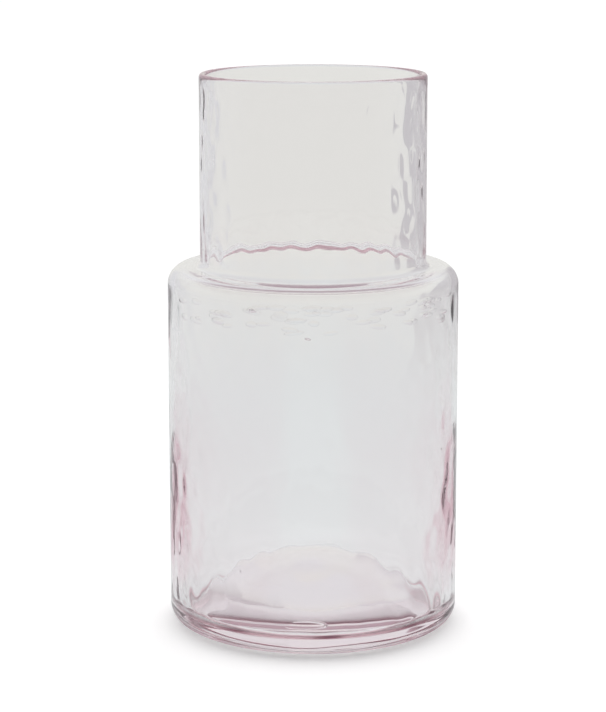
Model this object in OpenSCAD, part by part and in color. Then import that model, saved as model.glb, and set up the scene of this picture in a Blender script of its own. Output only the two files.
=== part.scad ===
// Blown glass carafe: a wide straight body, a flat shoulder with a rounded edge,
// and a narrower straight neck with an open, fire-polished mouth.
// The thick base is pushed up into a smooth hump, so that it stands on a ring at its edge.
// Millimetres. Z is up, and the origin is the centre of the base, on the table.

/* [Overall] */
// Height from the table to the top of the rim
height = 200; // [175:1:240]
// Height of the flat top of the shoulder
shoulder_h = 131; // [100:1:150]
// Outside diameter of the body
body_d = 105; // [96:0.5:130]
// Outside diameter of the neck
neck_d = 81.6; // [60:0.2:86]

/* [Glass] */
// Thickness of the body's wall
body_wall = 2.5; // [1.8:0.1:3.5]
// Thickness of the neck's wall, which the rim ends in a full round
neck_wall = 2.5; // [1.8:0.1:3.5]
// Thickness of the shoulder
shoulder_wall = 2.5; // [1.8:0.1:3.5]
// Height of the lowest point inside, in the channel round the pushed-up base
floor_h = 5.3; // [4.5:0.1:8]

/* [Roundings] */
// Outside radius where the wall turns into the shoulder
shoulder_r = 6.5; // [4:0.1:8]
// Outside radius where the wall turns into the base
heel_r = 6; // [3:0.1:7]
// Outside radius in the corner between the shoulder and the neck
root_r = 2; // [1:0.1:3.5]
// Inside radius where the wall turns into the floor
floor_r = 5; // [3:0.1:7]

/* [Pushed-up base] */
// Height of the top of the hump inside, above the table
hump_h = 22.5; // [14:0.1:28]
// Height of the hollow under the hump, above the table
hollow_h = 7; // [4:0.5:11]
// Width of the flat ring at the edge of the base, which the carafe stands on
ring_w = 2.5; // [1.5:0.1:8]

/* [Pontil mark] */
// Diameter of the dab of glass that the pontil iron left
dab_d = 11; // [8:0.1:14]
// Thickness of the dab at its rim
dab_h = 1.2; // [0.8:0.05:1.5]
// Thickness that the dimple in the middle of the dab leaves
dab_middle = 0.6; // [0.4:0.05:0.7]

/* [Hidden] */
$fn = 96;
glass_pink = [0.95, 0.84, 0.87];
dab_pink = [0.92, 0.78, 0.82];
// Straight steps in each curve of the pushed-up base
curve_steps = 32;
// Powers of the hump's curve: how full its top is, and how softly it meets the channel
hump_full = 2.2;
hump_soft = 1.1;
// The same powers for the hollow, which is slimmer and meets the table in a softer bend
hollow_full = 1.5;
hollow_soft = 1.5;
// Overrun of cuts and joins past the faces that they meet
overrun = 1;

body_r = body_d / 2;
neck_r = neck_d / 2;
ledge = body_r - neck_r;
rim_r = neck_wall / 2;
rim_z = height - rim_r;

// The outer roundings give way where the shoulder is too narrow for them.
shoulder_corner = min(shoulder_r, ledge * 3 / 4);
root_corner = min(root_r, ledge - shoulder_corner);

// The inner surface keeps the wall's thickness round each bend.
inner_body_r = body_r - body_wall;
inner_neck_r = neck_r - neck_wall;
ceiling_z = shoulder_h - shoulder_wall;
inner_shoulder_corner = max(shoulder_corner - body_wall, body_wall / 2);
inner_root_corner = root_corner + neck_wall;

// The hump starts where the rounding at the foot of the wall ends.
// The hollow has a flat seat in the middle, which the dab of glass fills.
hump_r = inner_body_r - floor_r;
hollow_r = body_r - heel_r - ring_w;
dab_r = dab_d / 2;
dab_edge = (dab_h - dab_middle) / 2;

// Height of a smooth hump of height 1, at a share of the way from its top to its foot.
function hump_share(share, full, soft) = pow(1 - pow(share, full), soft);

// Points down a hump from its top edge to its foot, as radius and height.
function hump_curve(top_r, foot_r, top_z, foot_z, full, soft) = [
    for (step = [0:curve_steps])
        let (share = step / curve_steps)
        [top_r + (foot_r - top_r) * share, foot_z + (top_z - foot_z) * hump_share(share, full, soft)]
];

// Half section of a round column, with its lower and upper corners rounded.
module half_column(radius, low, high, low_r, high_r) {
    translate([0, low]) square([radius - low_r, low_r]);
    translate([0, low + low_r]) square([radius, high - low - low_r - high_r]);
    translate([0, high - high_r]) square([radius - high_r, high_r]);
    translate([radius - low_r, low + low_r]) circle(r = low_r);
    translate([radius - high_r, high - high_r]) circle(r = high_r);
}

// Half section of what fills the corner between a wall and the ledge below it.
module half_corner(radius, level, corner) {
    difference() {
        translate([radius - overrun, level - overrun]) square(corner + overrun);
        translate([radius + corner, level + corner]) circle(r = corner);
    }
}

// Everything inside the outer skin, up to the middle of the rim.
module outer_half() {
    half_column(body_r, 0, shoulder_h, heel_r, shoulder_corner);
    translate([0, shoulder_h - overrun]) square([neck_r, rim_z - shoulder_h + overrun]);
    half_corner(neck_r, shoulder_h, root_corner);
}

// The pushed-up part of the floor, which stands up into the chamber.
module hump_half() {
    polygon(concat(
        [[0, floor_h - overrun]],
        hump_curve(0, hump_r, hump_h, floor_h, hump_full, hump_soft),
        [[hump_r, floor_h - overrun]]
    ));
}

// The space inside: the chamber of the body round the hump, and the bore of the neck.
module inner_half() {
    difference() {
        half_column(inner_body_r, floor_h, ceiling_z, floor_r, inner_shoulder_corner);
        hump_half();
    }
    translate([0, ceiling_z - overrun]) square([inner_neck_r, height - ceiling_z + overrun]);
    half_corner(inner_neck_r, ceiling_z, inner_root_corner);
}

// The hollow under the pushed-up base, with the dab's flat seat in its middle.
module hollow_half() {
    polygon(concat(
        [[0, -overrun], [0, hollow_h]],
        hump_curve(dab_r, hollow_r, hollow_h, 0, hollow_full, hollow_soft),
        [[hollow_r, -overrun]]
    ));
}

module glass_vessel() {
    color(glass_pink)
    rotate_extrude() {
        difference() {
            outer_half();
            inner_half();
            hollow_half();
        }
        translate([neck_r - rim_r, rim_z]) circle(r = rim_r);
    }
}

// The dab hangs from the seat, face to face with it, and its snapped face has a dimple.
module pontil_mark() {
    color(dab_pink)
    translate([0, 0, hollow_h - dab_h])
    rotate_extrude()
        polygon([
            [0, dab_h],
            [dab_r, dab_h],
            [dab_r, dab_edge],
            [dab_r - dab_edge, 0],
            [dab_r / 2, dab_h - dab_middle],
            [0, dab_h - dab_middle],
        ]);
}

glass_vessel();
pontil_mark();
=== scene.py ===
# %% [markdown]
# A blown glass carafe
#
# This lesson dresses one vessel of pale pink glass. The real thing is blown in a mould, so its outside is
# smooth and straight, while the inside, which nothing touched, keeps gentle ripples. What we see of clear
# glass is mostly those ripples bending the room behind it, so the shape comes first and the colour second.

import bpy
import numpy as np
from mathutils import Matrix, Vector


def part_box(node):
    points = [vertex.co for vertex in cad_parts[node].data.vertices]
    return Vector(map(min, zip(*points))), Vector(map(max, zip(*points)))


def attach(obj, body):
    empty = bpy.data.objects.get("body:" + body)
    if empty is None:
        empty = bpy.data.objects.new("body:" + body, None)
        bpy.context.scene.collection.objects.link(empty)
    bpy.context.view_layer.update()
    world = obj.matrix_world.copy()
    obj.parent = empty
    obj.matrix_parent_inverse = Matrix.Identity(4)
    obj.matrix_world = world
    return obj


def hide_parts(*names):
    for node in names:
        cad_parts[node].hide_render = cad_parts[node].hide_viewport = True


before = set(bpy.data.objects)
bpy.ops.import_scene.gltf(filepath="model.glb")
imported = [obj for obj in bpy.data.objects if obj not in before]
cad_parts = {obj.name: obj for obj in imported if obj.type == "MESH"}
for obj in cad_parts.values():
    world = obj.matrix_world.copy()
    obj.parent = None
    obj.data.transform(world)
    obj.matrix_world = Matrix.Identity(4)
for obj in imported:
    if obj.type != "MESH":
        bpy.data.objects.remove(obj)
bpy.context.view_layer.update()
MM = 0.001

# %% [markdown]
# The sizes
#
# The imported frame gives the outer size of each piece. The walls, the roundings and the pushed-up base
# aren't in it as numbers, so they are repeated here in millimetres, with the names that the part's own
# source gives them.

# %% Sizes in millimetres
_, vessel_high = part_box("glass_vessel")
dab_low, dab_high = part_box("pontil_mark")
height = vessel_high.z / MM
body_r = vessel_high.x / MM
dab_r = dab_high.x / MM
hollow_h = dab_high.z / MM
dab_h = hollow_h - dab_low.z / MM
neck_r = 40.8
shoulder_h = 131.0
body_wall = neck_wall = shoulder_wall = 2.5
floor_h = 5.3
shoulder_r = 6.5
heel_r = 6.0
root_r = 2.0
floor_r = 5.0
hump_h = 22.5
ring_w = 2.5
hump_full, hump_soft = 2.2, 1.1
hollow_full, hollow_soft = 1.5, 1.5

inner_body_r = body_r - body_wall
inner_neck_r = neck_r - neck_wall
inner_root_r = root_r + neck_wall
inner_shoulder_r = shoulder_r - body_wall
ceiling_z = shoulder_h - shoulder_wall
rim_r = neck_wall / 2
rim_z = height - rim_r
hump_r = inner_body_r - floor_r
hollow_r = body_r - heel_r - ring_w
print(f"carafe {height:.1f} mm tall and {2 * body_r:.1f} mm across, neck bore {2 * inner_neck_r:.1f} mm")

# %% [markdown]
# The section
#
# A blown vessel is a body of revolution, so half of its section holds the whole form. The section runs
# from the middle of the underside, down the hollow of the pushed-up base, out over the heel, up the outside,
# round the rim, down the inside and up the hump to its middle. One closed skin like this is what a ray
# tracer needs to bend light through glass: it must always know whether a ray is in the glass or in the air.


# %% Lines, arcs and humps
def line(start, end, count):
    """Points on the straight line from start to end: start plus a share of the way, without the last one."""
    share = np.linspace(0, 1, count, endpoint=False)[:, None]
    return np.array(start) + share * (np.array(end) - np.array(start))


def arc(centre, radius, first, last, count):
    """Points on a circle: centre plus radius times the cosine and sine of an angle that goes from first to
    last, in degrees, without the last one."""
    angle = np.radians(np.linspace(first, last, count, endpoint=False))
    return np.array(centre) + radius * np.stack([np.cos(angle), np.sin(angle)], axis=1)


def hump(top, foot, full, soft, count):
    """Points down a smooth hump from top to foot, both as radius and height, without the last one: the
    height is (1 - share to the power full) to the power soft, of the way out from the top."""
    share = np.linspace(0, 1, count, endpoint=False)
    rise = (1 - share**full) ** soft
    return np.stack([top[0] + (foot[0] - top[0]) * share, foot[1] + (top[1] - foot[1]) * rise], axis=1)


# %% [markdown]
# The two skins
#
# The outer and the inner skin are each a chain of such pieces, as radius and height. The last number of
# each piece is how many points it gets: a few where the wall is straight and smooth, more in the bends, and
# most on the inner walls, because the ripples need them.


# %% Section in millimetres
def outer_section():
    """The outer skin from the middle of the underside to the rim: hollow, heel, wall, shoulder, neck, rim."""
    return np.concatenate([
        line((0, hollow_h), (dab_r, hollow_h), 3),
        hump((dab_r, hollow_h), (hollow_r, 0), hollow_full, hollow_soft, 30),
        line((hollow_r, 0), (body_r - heel_r, 0), 2),
        arc((body_r - heel_r, heel_r), heel_r, -90, 0, 12),
        line((body_r, heel_r), (body_r, shoulder_h - shoulder_r), 4),
        arc((body_r - shoulder_r, shoulder_h - shoulder_r), shoulder_r, 0, 90, 12),
        line((body_r - shoulder_r, shoulder_h), (neck_r + root_r, shoulder_h), 2),
        arc((neck_r + root_r, shoulder_h + root_r), root_r, 270, 180, 6),
        line((neck_r, shoulder_h + root_r), (neck_r, rim_z), 4),
        arc((neck_r - rim_r, rim_z), rim_r, 0, 180, 12),
    ])


def inner_section():
    """The inner skin from the rim to the middle of the hump: neck, shoulder, wall, floor, hump."""
    root, bend = inner_root_r, inner_shoulder_r
    wall_top = shoulder_h - shoulder_r
    return np.concatenate([
        line((inner_neck_r, rim_z), (inner_neck_r, ceiling_z + root), 56),
        arc((inner_neck_r + root, ceiling_z + root), root, 180, 270, 14),
        line((inner_neck_r + root, ceiling_z), (inner_body_r - bend, ceiling_z), 3),
        arc((inner_body_r - bend, wall_top), bend, 90, 0, 8),
        line((inner_body_r, wall_top), (inner_body_r, floor_h + floor_r), 96),
        arc((inner_body_r - floor_r, floor_h + floor_r), floor_r, 0, -90, 14),
        hump((0, hump_h), (hump_r, floor_h), hump_full, hump_soft, 36)[::-1],
    ])


outside = outer_section()
inside = inner_section()
section = np.concatenate([outside, inside])
on_inside = (np.arange(len(section)) >= len(outside))[:, None]
print(f"section: {len(outside)} points outside, {len(inside)} inside")

# %% [markdown]
# Waves
#
# Glass that cools in the air keeps the marks of its making: long upright waves from the gather and softer
# dimples. They are worked out as a sum of smooth waves round and along the skin, each with a whole number
# of turns so that it closes on itself. Every point of the skin has an angle round the axis and a run, the
# length along the section, and these two are the grid that the waves live on.

# %% Wave fields and windows
SIDES = 288
step = np.hypot(*np.diff(section, axis=0).T)
RUN = np.concatenate([[0], np.cumsum(step)])[:, None]
ANGLE = np.linspace(0, 2 * np.pi, SIDES, endpoint=False)[None, :]
radius, level = section[:, :1], section[:, 1:]
print(f"grid: {len(RUN)} rows along {RUN[-1, 0]:.0f} mm of section, {SIDES} columns round the axis")


def wave_field(turns, lengths, count, seed):
    """A smooth random field on the grid: the sum of count cosines, each with a whole number of turns round
    the carafe, a wave number along the run and a phase of its own, scaled to unit spread."""
    draw = np.random.default_rng(seed)
    field = np.zeros(np.broadcast(ANGLE, RUN).shape)
    for _ in range(count):
        around = draw.integers(turns[0], turns[1] + 1)
        along = 2 * np.pi / draw.uniform(*lengths) * draw.choice([-1, 1])
        field += np.cos(around * ANGLE + along * RUN + draw.uniform(0, 2 * np.pi))
    return field / np.sqrt(count / 2)


def window(value, low, high, fade):
    """1 between low and high and 0 outside them, with an easy step of width fade at each end."""
    rise = np.clip((value - low) / fade + 0.5, 0, 1)
    fall = np.clip((high - value) / fade + 0.5, 0, 1)
    return rise**2 * (3 - 2 * rise) * fall**2 * (3 - 2 * fall)


# %% [markdown]
# The ripples and the thick foot
#
# The waves move the inner skin along its own normal. A tenth of a millimetre is enough, because near the
# sides of the vessel a ray only just passes the inner skin. They fade out before the bends, and in the
# upper body, which cooled first, they are half as deep. Soft glass also runs down while it is worked, so
# the wall gets thicker towards the foot.

# %% Ripples in millimetres
WAVE_DEPTH = 0.035
DIMPLE_DEPTH = 0.04
BODY_SPAN = floor_h + 3, ceiling_z - 7, 6
NECK_SPAN = ceiling_z + 5, rim_z - 5, 5
NO_LOW_END = -50
CALM_ABOVE, CALM_FADE = 90, 50
FOOT_THICKENING = 1.8
FOOT_TOP, FOOT_FADE = 45, 60

long_waves = wave_field(turns=(6, 30), lengths=(60, 200), count=60, seed=11)
dimples = wave_field(turns=(8, 44), lengths=(10, 50), count=120, seed=12)
body_part = window(level, *BODY_SPAN) * (radius > hump_r + floor_r / 2)
body_part = body_part * (0.5 + 0.5 * window(level, NO_LOW_END, CALM_ABOVE, CALM_FADE))
neck_part = window(level, *NECK_SPAN) * (radius < neck_r)
walls = (body_part + neck_part) * on_inside
depth = (WAVE_DEPTH * long_waves + DIMPLE_DEPTH * dimples) * walls
foot_share = window(level, NO_LOW_END, FOOT_TOP, FOOT_FADE) * np.clip((radius - hump_r) / floor_r, 0, 1)
thicker = FOOT_THICKENING * foot_share * on_inside
print(f"ripples on the inside: {np.ptp(depth):.2f} mm from crest to trough")
print(f"wall: {body_wall:.1f} mm, {body_wall + thicker.max():.1f} mm near the floor")

# %% [markdown]
# The uneven hump
#
# The base was pushed up with a tool while it was soft, so the hump isn't perfectly round. A few shallow
# dents give its outline the steps that a smooth hump lacks. Each is a bell curve of a depth and a width
# round a place on plan. They fade out before the hump's foot, and the neck's bore, which lies over the
# hump on plan, is left out by its height.

# %% Hump unevenness in millimetres
HUMP_DENTS = [
    # x, y, depth, width
    (7.5, 13.0, 0.4, 8.0),
    (-20.0, 22.0, 0.4, 8.0),
    (29.0, 10.0, 0.4, 8.0),
]
DENTS_END, DENTS_FADE = hump_r - 3, 6
flat_x, flat_y = radius * np.cos(ANGLE), radius * np.sin(ANGLE)
on_hump = window(radius, NO_LOW_END, DENTS_END, DENTS_FADE) * on_inside * (level < hump_h + 1)
dents = sum(deep * np.exp(-((flat_x - x)**2 + (flat_y - y)**2) / (2 * (wide / 2)**2))
            for x, y, deep, wide in HUMP_DENTS)
hump_drop = -dents * on_hump
print(f"hump uneven by {np.ptp(hump_drop):.2f} mm")

# %% [markdown]
# Closed skins
#
# The section is swept round the axis as one grid. Every row of the grid is a ring of points, and the first
# and last rings shrink to a single point each, where a fan of triangles closes the skin. The bubbles of air
# below are made in the same way, and one mesh can hold many such skins.


# %% Skins and meshes
def closed_skin(points):
    """A closed skin from a grid of points, rows along the section and columns round the axis, as vertices
    and three tables of faces: quads between neighbouring rows and columns, and a fan at each end, where the
    row is a single point."""
    rows, columns = points.shape[:2]
    vertices = np.concatenate([points[0, :1], points[1:-1].reshape(-1, 3), points[-1, :1]])
    ring = 1 + np.arange(rows - 2)[:, None] * columns
    here = np.arange(columns)[None, :]
    after = (here + 1) % columns
    quads = np.stack([ring[:-1] + here, ring[:-1] + after, ring[1:] + after, ring[1:] + here], axis=2)
    first = np.stack([np.zeros_like(here[0]), 1 + after[0], 1 + here[0]], axis=1)
    last = np.stack([ring[-1] + here[0], ring[-1] + after[0], np.full(columns, len(vertices) - 1)], axis=1)
    return vertices, [quads.reshape(-1, 4), first, last]


def smooth_mesh(name, skins):
    """One smooth-shaded mesh that holds several closed skins, whose points are in millimetres. Each skin's
    faces are moved on by the number of vertices before it."""
    starts = np.cumsum([0] + [len(vertices) for vertices, _ in skins])
    faces = []
    for start, (_, tables) in zip(starts, skins):
        for table in tables:
            faces += (table + start).tolist()
    mesh = bpy.data.meshes.new(name)
    mesh.from_pydata((np.concatenate([vertices for vertices, _ in skins]) * MM).tolist(), [], faces)
    mesh.polygons.foreach_set("use_smooth", np.ones(len(faces), bool))
    mesh.update()
    return mesh


def add_piece(name, mesh):
    """A new object at the origin, unturned and unscaled, that holds the mesh."""
    piece = bpy.data.objects.new(name, mesh)
    bpy.context.scene.collection.objects.link(piece)
    return piece


# %% [markdown]
# The vessel's skin
#
# Each point of the section moves along its normal by the depth of its ripple, before the sweep. On the
# inside the normal points into the hollow, so a positive depth takes glass away.


# %% Vessel skin
def outward(points):
    """Unit normals of a section: its direction turned a quarter turn clockwise."""
    run = np.gradient(points, axis=0)
    normal = np.stack([run[:, 1], -run[:, 0]], axis=1)
    return normal / np.maximum(np.hypot(*normal.T), 1e-9)[:, None]


def swept(section_r, section_z):
    """The grid of points of a section swept round the axis: radius times cosine and sine, and height."""
    return np.stack([section_r * np.cos(ANGLE), section_r * np.sin(ANGLE), section_z + 0 * ANGLE], axis=2)


normal = outward(section)
skin_r = radius - depth * normal[:, :1] - thicker
skin_z = level - depth * normal[:, 1:] + hump_drop
vessel_skin = closed_skin(swept(skin_r, skin_z))
print(f"vessel skin: {sum(len(table) for table in vessel_skin[1])} faces")

# %% [markdown]
# Seeds
#
# Hand-made glass holds a little air: here and there a tiny round seed. For the glass the air is what lies
# outside, so a bubble is a small closed skin in the wall that faces inwards. An azimuth here is in degrees
# from the front towards +X.


# %% Seeds
SEEDS = [
    # azimuth, height, half its height, width and thickness, lean
    (-29.3, 29.3, 0.4, 0.25, 0.25, 0),
    (61.0, 68.5, 0.4, 0.25, 0.25, 0),
    (-2.0, 113.3, 0.35, 1.1, 0.3, -12),
]


def on_wall(azimuth, turned, reach, height_up):
    """Points round the axis: reach times the sine and minus the cosine of the azimuth plus the angle that
    each is turned on from it, and the height."""
    way = np.radians(azimuth) + turned
    return np.stack([reach * np.sin(way), -reach * np.cos(way), height_up], axis=2)


def leaned(across, up, lean):
    """Both coordinates in the wall turned by some degrees, with the cosine and the sine of that angle."""
    slant = np.radians(lean)
    return across * np.cos(slant) - up * np.sin(slant), across * np.sin(slant) + up * np.cos(slant)


def seed_bubble(azimuth, above, tall, wide, thick, lean, rings=9, around=14):
    """An egg-shaped bubble in the middle of the body's wall: cosines and sines of two angles times three
    half lengths, leaning in the wall, then turned to its azimuth, and facing inwards."""
    tilt = np.linspace(-np.pi / 2, np.pi / 2, rings)[:, None]
    turn = np.linspace(2 * np.pi, 0, around, endpoint=False)[None, :]
    deep = thick * np.cos(tilt) * np.sin(turn)
    across, up = leaned(wide * np.cos(tilt) * np.cos(turn), tall * np.sin(tilt) + 0 * turn, lean)
    middle_r = body_r - body_wall / 2
    return closed_skin(on_wall(azimuth, across / middle_r, middle_r - deep, above + up))


seeds = [seed_bubble(*row) for row in SEEDS]
print(f"seeds: {len(seeds)}")

# %% [markdown]
# The belt of blisters
#
# Under the shoulder the hot glass first met the mould and trapped a belt of flat blisters. A blister is a
# lens of air about a tenth of a millimetre thick. Its last rings lie close together, so that smooth shading
# turns over only in a thin line at its edge. Every blister lies at a depth of its own, so most that overlap
# lie one behind the other.

# %% Blisters
BLISTERS = 64
BLISTER_AZIMUTHS = -62, 66
BELT_TOP, BELT_WIDTH, CROWDED_UPWARDS = 124.5, 10, 1.3
BLISTER_TALL = 0.7, 1.2
BLISTER_WIDE = 1.8, 3.6
BLISTER_THICK = 0.03, 0.065
BLISTER_DEEP = 0.4, body_wall - 0.5
BLISTER_LEAN = -8, 8
LENS_RINGS = np.array([0, 0.5, 0.8, 0.96, 0.99])


def blister(azimuth, above, tall, wide, thick, deep, lean, around=16):
    """A flat lens of air in the body's wall, thick in its middle and sharp at its edge: its half thickness
    is 1 minus the square of the share of the way out. It lies at some depth under the outer skin and faces
    inwards."""
    out = np.concatenate([LENS_RINGS, LENS_RINGS[::-1]])[:, None]
    face = np.repeat([-1, 1], len(LENS_RINGS))[:, None]
    turn = np.linspace(0, 2 * np.pi, around, endpoint=False)[None, :]
    inwards = thick * face * (1 - out**2) + 0 * turn
    across, up = leaned(wide * out * np.cos(turn), tall * out * np.sin(turn), lean)
    reach = body_r - deep
    return closed_skin(on_wall(azimuth, across / reach, reach - inwards, above + up))


draw = np.random.default_rng(3)
blisters = [
    blister(draw.uniform(*BLISTER_AZIMUTHS), BELT_TOP - BELT_WIDTH * draw.uniform(0, 1)**CROWDED_UPWARDS,
            draw.uniform(*BLISTER_TALL), draw.uniform(*BLISTER_WIDE), draw.uniform(*BLISTER_THICK), deep,
            draw.uniform(*BLISTER_LEAN))
    for deep in np.linspace(*BLISTER_DEEP, BLISTERS)
]
print(f"blisters: {len(blisters)}")

# %% [markdown]
# The drawn-out line of air
#
# In the front flank of the hump one bubble was drawn out into a thin hook when the base was pushed up. It
# is a tube along a path, and the path is most of a turn of a flat ellipse.

# %% Line of air
HOOK_POINTS = 40
HOOK_FROM, HOOK_TURN = -160, 290
HOOK_CENTRE = -3.0, -38.5, 7.6
HOOK_REACH = 7.2, 1.8, 0.9
HOOK_THIN, HOOK_SWELL = 0.25, 0.7


def air_line(path, thick, sides=8):
    """A thin tube of air along a path: at each point a ring of the given radius, square to the path, that
    closes in a point at both ends, facing inwards."""
    ahead = np.gradient(path, axis=0)
    ahead /= np.linalg.norm(ahead, axis=1, keepdims=True)
    side = np.cross(ahead, (0, 0, 1))
    side /= np.linalg.norm(side, axis=1, keepdims=True)
    over = np.cross(side, ahead)
    turn = np.linspace(0, 2 * np.pi, sides, endpoint=False)[None, :, None]
    ring = np.cos(turn) * side[:, None, :] + np.sin(turn) * over[:, None, :]
    return closed_skin(path[:, None, :] + thick[:, None, None] * ring)


share = np.linspace(0, 1, HOOK_POINTS)
turn = np.radians(HOOK_FROM + HOOK_TURN * share)
hook = np.array(HOOK_CENTRE) + np.array(HOOK_REACH) * np.stack(
    [np.cos(turn), np.sin(turn), np.sin(turn)], axis=1)
hook_line = air_line(hook, HOOK_THIN + HOOK_SWELL * np.sin(np.pi * share) * share)
print(f"line of air: {np.linalg.norm(np.diff(hook, axis=0), axis=1).sum():.0f} mm long")

# %% [markdown]
# The vessel
#
# Glass and air go into one mesh, so that one material fills exactly what lies between the skins.

# %% Vessel
vessel = add_piece("blown_vessel", smooth_mesh("blown_vessel", [vessel_skin, hook_line, *seeds, *blisters]))
triangles = sum(len(face.vertices) - 2 for face in vessel.data.polygons)
print(f"vessel: {triangles} triangles, {len(seeds)} seeds, {len(blisters)} blisters")

# %% [markdown]
# The pontil mark
#
# While the mouth was finished, an iron rod held the vessel by a dab of glass on its base. The rod was
# knocked off and left a rough round scar, high in the hollow where it can't scratch the table. It is a
# flat dab, fused on at the top, with an uneven rim and a shell-shaped break below.

# %% Pontil scar
SCAR_FIT = 0.03
SCAR_RIM = dab_r * 0.93
SCAR_UNEVEN = 0.05
SHELL_CENTRE = 0.8 * SCAR_RIM
SHELL_STEP = 1.7
SHELL_LIFT = 0.02
BREAK_BELOW = 0.7
BREAK_SECTION = [
    # share of the rim's radius, height
    (0, 0.62),
    (0.45, 0.5),
    (0.85, 0.08),
    (1, 0.3),
]


def ring_wave(turns, count, seed):
    """A smooth random line round the carafe: the sum of count cosines with whole turns, of unit spread."""
    draw = np.random.default_rng(seed)
    around = draw.integers(turns[0], turns[1] + 1, count)[:, None]
    phase = draw.uniform(0, 2 * np.pi, count)[:, None]
    return np.cos(around * ANGLE + phase).sum(axis=0) / np.sqrt(count / 2)


def scar_skin():
    """The dab: a section from the middle of the break, out over the rim and in again along the flat top,
    swept round, with the rim moved by waves of the angle and the break by shells, which are rings of a
    cosine of the distance from a place near the rim."""
    top = dab_h - SCAR_FIT
    middle, bowl, lip, edge = [(SCAR_RIM * share, z) for share, z in BREAK_SECTION]
    under = np.concatenate([
        line(middle, bowl, 8),
        line(bowl, lip, 8),
        line(lip, edge, 5),
        line(edge, (SCAR_RIM, top), 4),
        line((SCAR_RIM, top), (0, top), 4),
        [(0, top)],
    ])
    r, z = under[:, :1], under[:, 1:] + 0 * ANGLE
    wide = 1 + SCAR_UNEVEN * ring_wave(turns=(2, 7), count=6, seed=21) * np.clip(r / SCAR_RIM, 0, 1)
    x, y = r * wide * np.cos(ANGLE), r * wide * np.sin(ANGLE)
    shells = np.cos(2 * np.pi * np.hypot(x - SHELL_CENTRE, y) / SHELL_STEP)
    lift = SHELL_LIFT * shells * (z < BREAK_BELOW) * np.clip(r, 0, 1)
    return closed_skin(np.stack([x, y, hollow_h - dab_h + np.maximum(z + lift, 0)], axis=2))


scar = add_piece("pontil_scar", smooth_mesh("pontil_scar", [scar_skin()]))
print(f"pontil scar: {len(scar.data.polygons)} faces, {2 * SCAR_RIM:.1f} mm across")

# %% [markdown]
# Small steps of a node tree
#
# The glass, the paper and the room are all mixed from the same few steps: some arithmetic, an easy step
# between two values, a blend of two colours, and where a point is. A helper for each keeps the recipes
# readable. Heights and distances in them are in metres, because shaders see the objects as they are.


# %% Node helpers
def maths(tree, operation, first, second=0.0):
    """The result of one operation on two values, each a socket or a number."""
    node = tree.nodes.new("ShaderNodeMath")
    node.operation = operation
    for socket, value in zip(node.inputs, (first, second)):
        if isinstance(value, (int, float)):
            socket.default_value = value
        else:
            tree.links.new(value, socket)
    return node.outputs[0]


def product(tree, first, second):
    """Two values multiplied."""
    return maths(tree, "MULTIPLY", first, second)


def distance(tree, x, y):
    """How far a place x, y on plan is from the axis: the root of the sum of both squares."""
    return maths(tree, "SQRT", maths(tree, "ADD", product(tree, x, x), product(tree, y, y)))


def ease(tree, value, low, high):
    """An easy step from 0 at low to 1 at high."""
    node = tree.nodes.new("ShaderNodeMapRange")
    node.interpolation_type = "SMOOTHSTEP"
    node.inputs["From Min"].default_value = low
    node.inputs["From Max"].default_value = high
    tree.links.new(value, node.inputs["Value"])
    return node.outputs["Result"]


def tint(tree, share, first, second):
    """A colour between two, each a socket or four numbers, by a share."""
    node = tree.nodes.new("ShaderNodeMix")
    node.data_type = "RGBA"
    tree.links.new(share, node.inputs[0])
    for socket, value in zip(node.inputs[6:8], (first, second)):
        if isinstance(value, tuple):
            socket.default_value = value
        else:
            tree.links.new(value, socket)
    return node.outputs[2]


def coordinates(tree, kind):
    """Where a point is: the coordinates of a kind as one socket, and the same as x, y and z."""
    place = tree.nodes.new("ShaderNodeTexCoord").outputs[kind]
    split = tree.nodes.new("ShaderNodeSeparateXYZ")
    tree.links.new(place, split.inputs[0])
    return place, tuple(split.outputs)


def blank_material(name):
    """A new material, its node tree and its output, which is the only node in it."""
    material = bpy.data.materials.new(name)
    material.use_nodes = True
    tree = material.node_tree
    tree.nodes.clear()
    return material, tree, tree.nodes.new("ShaderNodeOutputMaterial")


# %% [markdown]
# The pink glass
#
# The colour of this glass is in its body and not on its face: a thin wall looks clear, and the thick heel,
# where light runs a long way through the glass, looks pink. So the surface shader is left without colour,
# and a Volume Absorption inside takes a little green and blue for each millimetre that a ray travels. A ray
# on its way to a lamp can't bend, so it passes straight through instead: nearly whole where the wall is
# thin, and mostly stopped in the thick foot, which is what leaves the shadow under the heel.

# %% Glass
GLASS_PINK = (0.95, 0.25, 0.44, 1)
GLASS_DENSITY = 1.1
GLASS_IOR = 1.5
FOOT_WAY = (0.12, 0.12, 0.12, 1)
WALL_WAY = (0.985, 0.982, 0.983, 1)
THICK_BELOW = 0.011, 0.006
THICK_BEYOND = 0.038, 0.045


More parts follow.
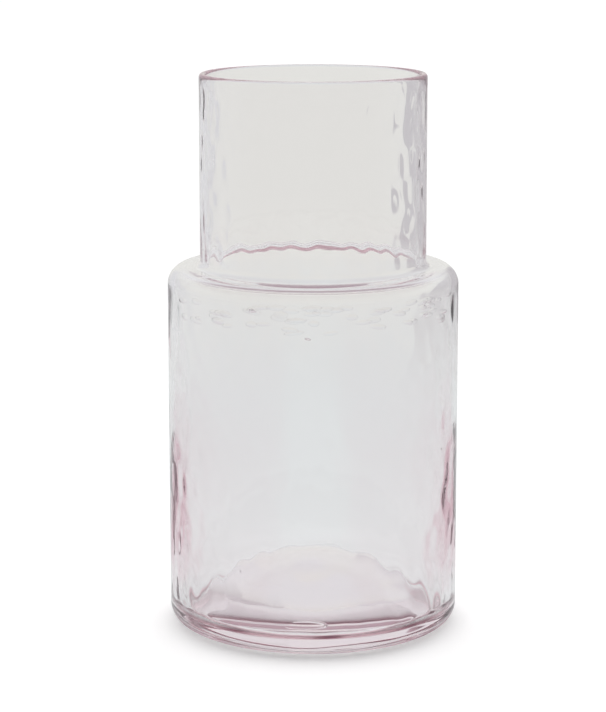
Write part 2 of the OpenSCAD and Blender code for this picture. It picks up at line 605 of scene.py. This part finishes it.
def pink_glass(name, roughness=0.0):
    """Clear glass that bends light, with absorption inside, and a straight way through for shadow rays."""
    material, tree, out = blank_material(name)
    nodes, links = tree.nodes, tree.links
    glass = nodes.new("ShaderNodeBsdfPrincipled")
    glass.inputs["Base Color"].default_value = (1, 1, 1, 1)
    glass.inputs["Roughness"].default_value = roughness
    glass.inputs["IOR"].default_value = GLASS_IOR
    glass.inputs["Transmission Weight"].default_value = 1
    _, (x, y, z) = coordinates(tree, "Object")
    thick = product(tree, ease(tree, distance(tree, x, y), *THICK_BEYOND), ease(tree, z, *THICK_BELOW))
    lamp_way = nodes.new("ShaderNodeBsdfTransparent")
    links.new(tint(tree, maths(tree, "SUBTRACT", 1.0, thick), FOOT_WAY, WALL_WAY), lamp_way.inputs["Color"])
    path = nodes.new("ShaderNodeLightPath")
    mix = nodes.new("ShaderNodeMixShader")
    links.new(path.outputs["Is Shadow Ray"], mix.inputs["Fac"])
    links.new(glass.outputs["BSDF"], mix.inputs[1])
    links.new(lamp_way.outputs["BSDF"], mix.inputs[2])
    links.new(mix.outputs["Shader"], out.inputs["Surface"])
    absorb = nodes.new("ShaderNodeVolumeAbsorption")
    absorb.inputs["Color"].default_value = GLASS_PINK
    absorb.inputs["Density"].default_value = GLASS_DENSITY
    links.new(absorb.outputs["Volume"], out.inputs["Volume"])
    return material


vessel.data.materials.append(pink_glass("pink_glass"))
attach(vessel, "root")
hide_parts("glass_vessel")

scar.data.materials.append(pink_glass("pontil_glass", roughness=0.05))
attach(scar, "root")
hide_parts("pontil_mark")
passed = 100 * np.exp(-100 * MM * GLASS_DENSITY * (1 - np.array(GLASS_PINK[:3])))
print("100 mm of glass let through, in per cent of red, green and blue:", passed.round().tolist())

# %% [markdown]
# The room that the glass shows
#
# Clear glass has hardly a look of its own: what we see in it is the room, bent. So the room is worth some
# care. Straight behind the vessel it is an even warm grey. To the right it turns darker and a little violet,
# to the left only a little darker and cooler, and on the viewer's side it is dim. High up it is a cool light
# grey, and overhead dim and a little pink, which draws the dark line along the front of the shoulder.
# Directions are told by the sine and the cosine of their azimuth, from the back towards the right.

# %% Colours of the room
MIDDLE_GREY = (0.794, 0.791, 0.763, 1)
RIGHT_GREY = (0.55, 0.53, 0.55, 1)
LEFT_GREY = (0.71, 0.71, 0.73, 1)
DIM_GREY = (0.48, 0.45, 0.465, 1)
HIGH_GREY = (0.77, 0.77, 0.79, 1)
OVERHEAD_GREY = (0.42, 0.33, 0.37, 1)
RIGHT_FROM = 0.16, 0.19
LEFT_FROM = 0.22, 0.3
FRONT_FROM = -0.5, 0.6


def glass_ray(tree):
    """A socket that is 1 for a ray that was reflected by a gloss or bent by glass, and else 0."""
    path = tree.nodes.new("ShaderNodeLightPath")
    return maths(tree, "MAXIMUM", path.outputs["Is Glossy Ray"], path.outputs["Is Transmission Ray"])


def room_colour(tree, x, y, middle, far, low):
    """The room's colour towards a place x, y on plan: the near side by the cosine of its azimuth, weighed by
    far, which is 0 close to the vessel and 1 away from it, and right and left by the sine, weighed by low."""
    away = distance(tree, x, y)
    sine = maths(tree, "DIVIDE", x, away)
    cosine = maths(tree, "DIVIDE", y, away)
    right = product(tree, ease(tree, sine, *RIGHT_FROM), low)
    left = product(tree, ease(tree, product(tree, sine, -1.0), *LEFT_FROM), low)
    front = product(tree, ease(tree, product(tree, cosine, -1.0), *FRONT_FROM), far)
    colour = tint(tree, left, tint(tree, right, middle, RIGHT_GREY), LEFT_GREY)
    return tint(tree, front, colour, DIM_GREY)


print(f"room: red from {OVERHEAD_GREY[0]:.2f} overhead to {MIDDLE_GREY[0]:.2f} straight behind")

# %% [markdown]
# The paper
#
# The floor is one wide sheet of matt paper. A camera ray sees it a little brighter than it is, so that it
# comes out white and still keeps the vessel's shadow. A ray that comes through the glass or off it sees the
# paper in the room's colours, with the same shadow on it. The pink light that the glass would throw on the
# paper near it is painted into the paper's colour: a soft painted glow to the two sides, and a ring of
# painted pink light and painted dark shade under the thick heel, made patchy by noise. The vessel would hide
# most of that painted light, so only rays from the glass see it.

# %% Floor
PAPER = 0.84
PAPER_LIFT = 0.22
FLOOR_REACH, FLOOR_DROP = 12.0, -0.0002
FAR_FROM = 0.35, 0.75
NEAR_GREY = (0.735, 0.755, 0.76, 1)
# Painted pink light on the paper to the two sides of the vessel: its colour, where it lies and how far out.
PAINTED_SIDE_GLOW = (0.62, 0.45, 0.50, 1)
NOT_BEHIND, NOT_AHEAD = (-0.85, -0.66), (0.3, 0.6)
PAINTED_GLOW_FROM, PAINTED_GLOW_TO = (0.07, 0.14), (0.2, 0.6)
# Painted light and shade in a ring under the heel: pink light, dark shade, the ring's reach and the noise
# that makes it patchy.
PAINTED_HEEL_LIGHT = (0.98, 0.70, 0.76, 1)
PAINTED_HEEL_SHADE = (0.36, 0.12, 0.18, 1)
PAINTED_RING_FROM, PAINTED_RING_TO = (0.038, 0.045), (0.048, 0.054)
LIGHT_PATCH_SCALE, LIGHT_PATCH_DETAIL = 42.0, 1.0
LIGHT_PATCH_EDGE = 0.4, 0.62


def ring_share(tree, away, start, end):
    """1 in a ring round the vessel and 0 inside and outside it: the easy step at its start less that at its
    end, each between two distances."""
    return maths(tree, "SUBTRACT", ease(tree, away, *start), ease(tree, away, *end))


def near_paper_painted(tree, place, x, y, away):
    """The colour of the paper near the vessel for rays from the glass: grey, with a painted pink glow at the
    sides and a patchy ring of painted pink light and dark shade under the heel."""
    cosine = maths(tree, "DIVIDE", y, away)
    sine = maths(tree, "DIVIDE", maths(tree, "ABSOLUTE", x), away)
    # Where the painted pink glow lies: to the two sides, out to a ring round the vessel.
    beside = product(tree, ease(tree, product(tree, cosine, -1.0), *NOT_BEHIND), ease(tree, sine, *NOT_AHEAD))
    glow = product(tree, beside, ring_share(tree, away, PAINTED_GLOW_FROM, PAINTED_GLOW_TO))
    # Painted pink light and painted dark shade under the heel, mixed in patches by noise.
    light_patches = tree.nodes.new("ShaderNodeTexNoise")
    light_patches.inputs["Scale"].default_value = LIGHT_PATCH_SCALE
    light_patches.inputs["Detail"].default_value = LIGHT_PATCH_DETAIL
    tree.links.new(place, light_patches.inputs["Vector"])
    heel = tint(tree, ease(tree, light_patches.outputs[0], *LIGHT_PATCH_EDGE), PAINTED_HEEL_LIGHT, PAINTED_HEEL_SHADE)
    ring = ring_share(tree, away, PAINTED_RING_FROM, PAINTED_RING_TO)
    return tint(tree, ring, tint(tree, glow, NEAR_GREY, PAINTED_SIDE_GLOW), heel)


def pale_floor():
    """Paper: diffuse plus a lift for camera rays, and diffuse in the room's colours for rays from glass, with
    painted pink light and shade near the vessel.
    """
    material, tree, out = blank_material("pale_paper")
    nodes, links = tree.nodes, tree.links
    place, (x, y, _) = coordinates(tree, "Object")
    away = distance(tree, x, y)
    far = ease(tree, away, *FAR_FROM)
    middle = tint(tree, far, near_paper_painted(tree, place, x, y, away), MIDDLE_GREY)
    glass = glass_ray(tree)
    paper = nodes.new("ShaderNodeBsdfDiffuse")
    room = room_colour(tree, x, y, middle, far, far)
    links.new(tint(tree, glass, (PAPER, PAPER, PAPER, 1), room), paper.inputs["Color"])
    lift = nodes.new("ShaderNodeEmission")
    links.new(product(tree, maths(tree, "SUBTRACT", 1.0, glass), PAPER_LIFT), lift.inputs["Strength"])
    bright = nodes.new("ShaderNodeAddShader")
    links.new(paper.outputs[0], bright.inputs[0])
    links.new(lift.outputs[0], bright.inputs[1])
    links.new(bright.outputs[0], out.inputs["Surface"])
    return material


floor_mesh = bpy.data.meshes.new("paper_floor")
corners = [(x * FLOOR_REACH, y * FLOOR_REACH, FLOOR_DROP) for x, y in [(-1, -1), (1, -1), (1, 1), (-1, 1)]]
floor_mesh.from_pydata(corners, [], [(0, 1, 2, 3)])
floor_mesh.materials.append(pale_floor())
floor = add_piece("paper_floor", floor_mesh)
print(f"paper: {2 * FLOOR_REACH:.0f} m wide, {-FLOOR_DROP / MM:.1f} mm under the foot")

# %% [markdown]
# The light
#
# The lamps hang high behind the vessel and are wide and soft, which leaves a short soft shadow round the
# heel. The world does three jobs: it gives that light to the paper, the plain white behind the floor to the
# camera, and the room's colours to rays from the glass.

# %% World
LIGHT_FROM = (0.0, 0.62, 0.78)
LIGHT_EDGE = 0.3, 0.95
LIGHT_LEVEL = 2.16
ABOVE_FLOOR = -1.0, -0.9
HIGH_FROM = 0.1, 0.4
OVERHEAD_FROM = 0.45, 0.7


def towards(tree, way, direction):
    """The cosine of the angle between a socket's direction and a given one."""
    node = tree.nodes.new("ShaderNodeVectorMath")
    node.operation = "DOT_PRODUCT"
    node.inputs[1].default_value = direction
    tree.links.new(way, node.inputs[0])
    return node.outputs["Value"]


world = bpy.data.worlds.new("soft_room")
world.use_nodes = True
tree = world.node_tree
nodes, links = tree.nodes, tree.links
nodes.clear()
out = nodes.new("ShaderNodeOutputWorld")
way, (x, y, z) = coordinates(tree, "Generated")
far = ease(tree, z, *ABOVE_FLOOR)
high = ease(tree, z, *HIGH_FROM)
middle = tint(tree, high, MIDDLE_GREY, HIGH_GREY)
colour = room_colour(tree, x, y, middle, far, maths(tree, "SUBTRACT", far, high))
colour = tint(tree, ease(tree, z, *OVERHEAD_FROM), colour, OVERHEAD_GREY)
lamps = product(tree, ease(tree, towards(tree, way, LIGHT_FROM), *LIGHT_EDGE), LIGHT_LEVEL)
path = nodes.new("ShaderNodeLightPath")
lamps_or_white = maths(tree, "MAXIMUM", lamps, path.outputs["Is Camera Ray"])
glass = glass_ray(tree)
room = nodes.new("ShaderNodeBackground")
links.new(tint(tree, glass, (1, 1, 1, 1), colour), room.inputs["Color"])
links.new(tint(tree, glass, lamps_or_white, (1, 1, 1, 1)), room.inputs["Strength"])
links.new(room.outputs[0], out.inputs["Surface"])
bpy.context.scene.world = world
print(f"world: {len(nodes)} nodes, lamps at a level of {LIGHT_LEVEL}")

# %% [markdown]
# The camera
#
# The camera stands in front and looks down at about ten degrees, as the reference view does. Its distance
# and lens were worked out from the outline, and the small shift is that view's own framing.

# %% Camera
VIEW_WIDTH, VIEW_HEIGHT = 606, 712
SENSOR_WIDTH = 36.0
FOCAL_PIXELS = 2368.0
CENTRE_X, CENTRE_Y = 313.1, 300.0
CAMERA_BACK, CAMERA_UP, CAMERA_TILT = 844.6, 267.3, 10.04

camera_data = bpy.data.cameras.new("camera")
camera_data.sensor_width = SENSOR_WIDTH
camera_data.lens = FOCAL_PIXELS * SENSOR_WIDTH / VIEW_HEIGHT
camera_data.shift_x = (VIEW_WIDTH / 2 - CENTRE_X) / VIEW_HEIGHT
camera_data.shift_y = (CENTRE_Y - VIEW_HEIGHT / 2) / VIEW_HEIGHT
camera = bpy.data.objects.new("camera", camera_data)
camera.location = (0, -CAMERA_BACK * MM, CAMERA_UP * MM)
camera.rotation_euler = (np.radians(90 - CAMERA_TILT), 0, 0)
bpy.context.scene.collection.objects.link(camera)
bpy.context.scene.camera = camera
bpy.context.scene.view_settings.view_transform = "Standard"
print(f"camera: {camera_data.lens:.1f} mm lens, {CAMERA_BACK:.0f} mm in front and {CAMERA_UP:.0f} mm up")

# %% [markdown]
# Light in thick glass
#
# In the heel a ray turns back and forth between two skins many times before it leaves. Each turn is a
# bounce, and past the set number of bounces the ray counts as black, so the number is raised.

# %% Bounces
MOST_BOUNCES = 64
cycles = bpy.context.scene.cycles
cycles.max_bounces = MOST_BOUNCES
cycles.transmission_bounces = MOST_BOUNCES
cycles.glossy_bounces = MOST_BOUNCES
print(f"a ray may bounce {MOST_BOUNCES} times")
